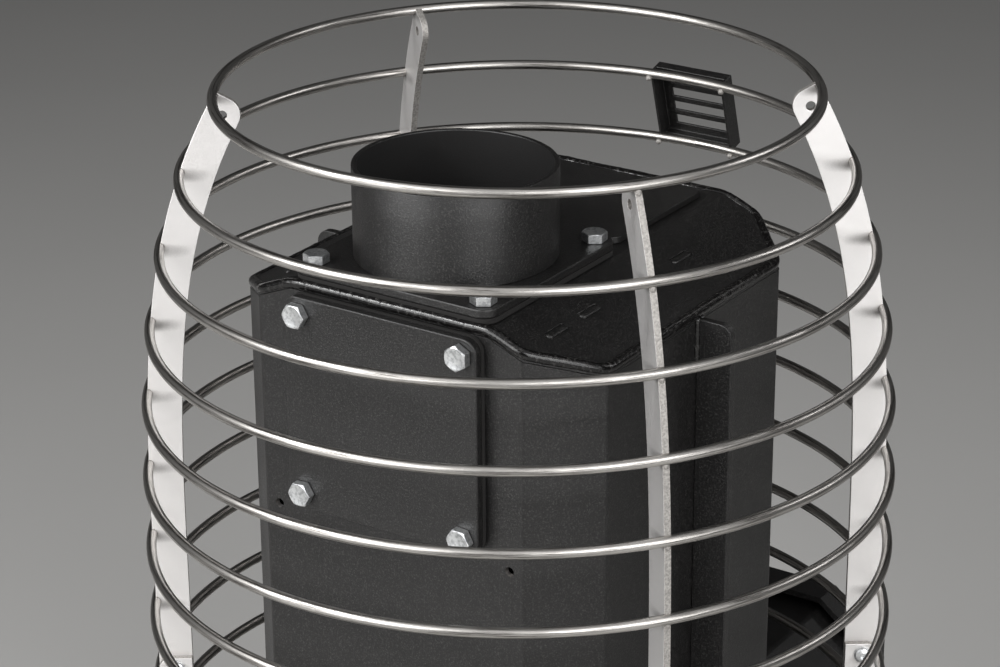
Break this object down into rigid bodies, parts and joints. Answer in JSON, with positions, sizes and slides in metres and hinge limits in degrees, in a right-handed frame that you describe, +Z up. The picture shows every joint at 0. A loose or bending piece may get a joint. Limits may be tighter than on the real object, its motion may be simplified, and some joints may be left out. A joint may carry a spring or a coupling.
{
  "type": "wood-burning sauna heater stove",
  "caption": "Tall black steel wood-burning sauna stove in a round stainless wire stone cage, with a flue collar on top, a glazed door and an ash drawer.",
  "frame": {"origin": "on the floor, in the middle of the footprint", "axes": "+Z up, the door faces -Y, +X to the right of someone facing the door"},
  "size_m": [0.439, 0.5466, 0.7476],
  "materials": {
    "stainless": "drawn and pickled stainless steel, satin",
    "zinc_plate": "bright zinc plated steel",
    "black_paint": "heat-resistant black paint, satin with a fine grain",
    "bare_steel": "bare hot-rolled steel sheet",
    "cast_iron": "sand cast, matt",
    "ceramic_glass": "clear heat-resistant glass ceramic",
    "glass_rope": "braided glass fibre rope",
    "fibre_gasket": "pressed ceramic fibre sheet"
  },
  "bodies": {
    "stove": {"ring_01": "stainless", "ring_02": "stainless", "ring_03": "stainless", "ring_04": "stainless", "ring_05": "stainless", "ring_06": "stainless", "ring_07": "stainless", "ring_08": "stainless", "ring_09": "stainless", "ring_10": "stainless", "ring_11": "stainless", "ring_12": "stainless", "ring_13": "stainless", "ring_14": "stainless", "ring_15": "stainless", "ring_16": "stainless", "upper_rib_front_left": "stainless", "upper_rib_front_right": "stainless", "upper_rib_rear_left": "stainless", "upper_rib_rear_right": "stainless", "lower_rib_front_left": "stainless", "lower_rib_front_right": "stainless", "lower_rib_rear_left": "stainless", "lower_rib_rear_right": "stainless", "hinge_pin": "stainless", "rib_screw_front_left": "zinc_plate", "rib_screw_front_right": "zinc_plate", "rib_screw_rear_left": "zinc_plate", "rib_screw_rear_right": "zinc_plate", "flue_bolt_1": "zinc_plate", "flue_bolt_2": "zinc_plate", "flue_bolt_3": "zinc_plate", "flue_bolt_4": "zinc_plate", "rear_cover_bolt_1": "zinc_plate", "rear_cover_bolt_2": "zinc_plate", "rear_cover_bolt_3": "zinc_plate", "rear_cover_bolt_4": "zinc_plate", "body_shell": "black_paint", "top_plate": "black_paint", "fin_left": "black_paint", "fin_right": "black_paint", "top_doubler": "black_paint", "flue_flange": "black_paint", "flue_collar": "black_paint", "rear_cover": "black_paint", "firebox_tunnel": "black_paint", "door_frame": "black_paint", "stone_tray": "black_paint", "badge_tray": "black_paint", "baffle_box": "bare_steel", "grate": "cast_iron", "flue_gasket": "fibre_gasket", "rear_cover_gasket": "fibre_gasket"},
    "door": {"door_leaf": "black_paint", "door_glass": "ceramic_glass", "glass_frame": "bare_steel", "door_gasket": "glass_rope", "door_handle": "stainless"},
    "drawer": {"ash_drawer": "black_paint", "drawer_pull": "stainless"}
  },
  "joints": [
    {"name": "door_hinge", "type": "hinge", "parent": "stove", "child": "door", "pos_m": [-0.096, -0.23825, 0], "axis": [0, 0, -1], "range_deg": [0, 115]},
    {"name": "drawer_slide", "type": "slide", "parent": "stove", "child": "drawer", "axis": [0, -1, 0], "range_m": [0, 0.22]}
  ]
}
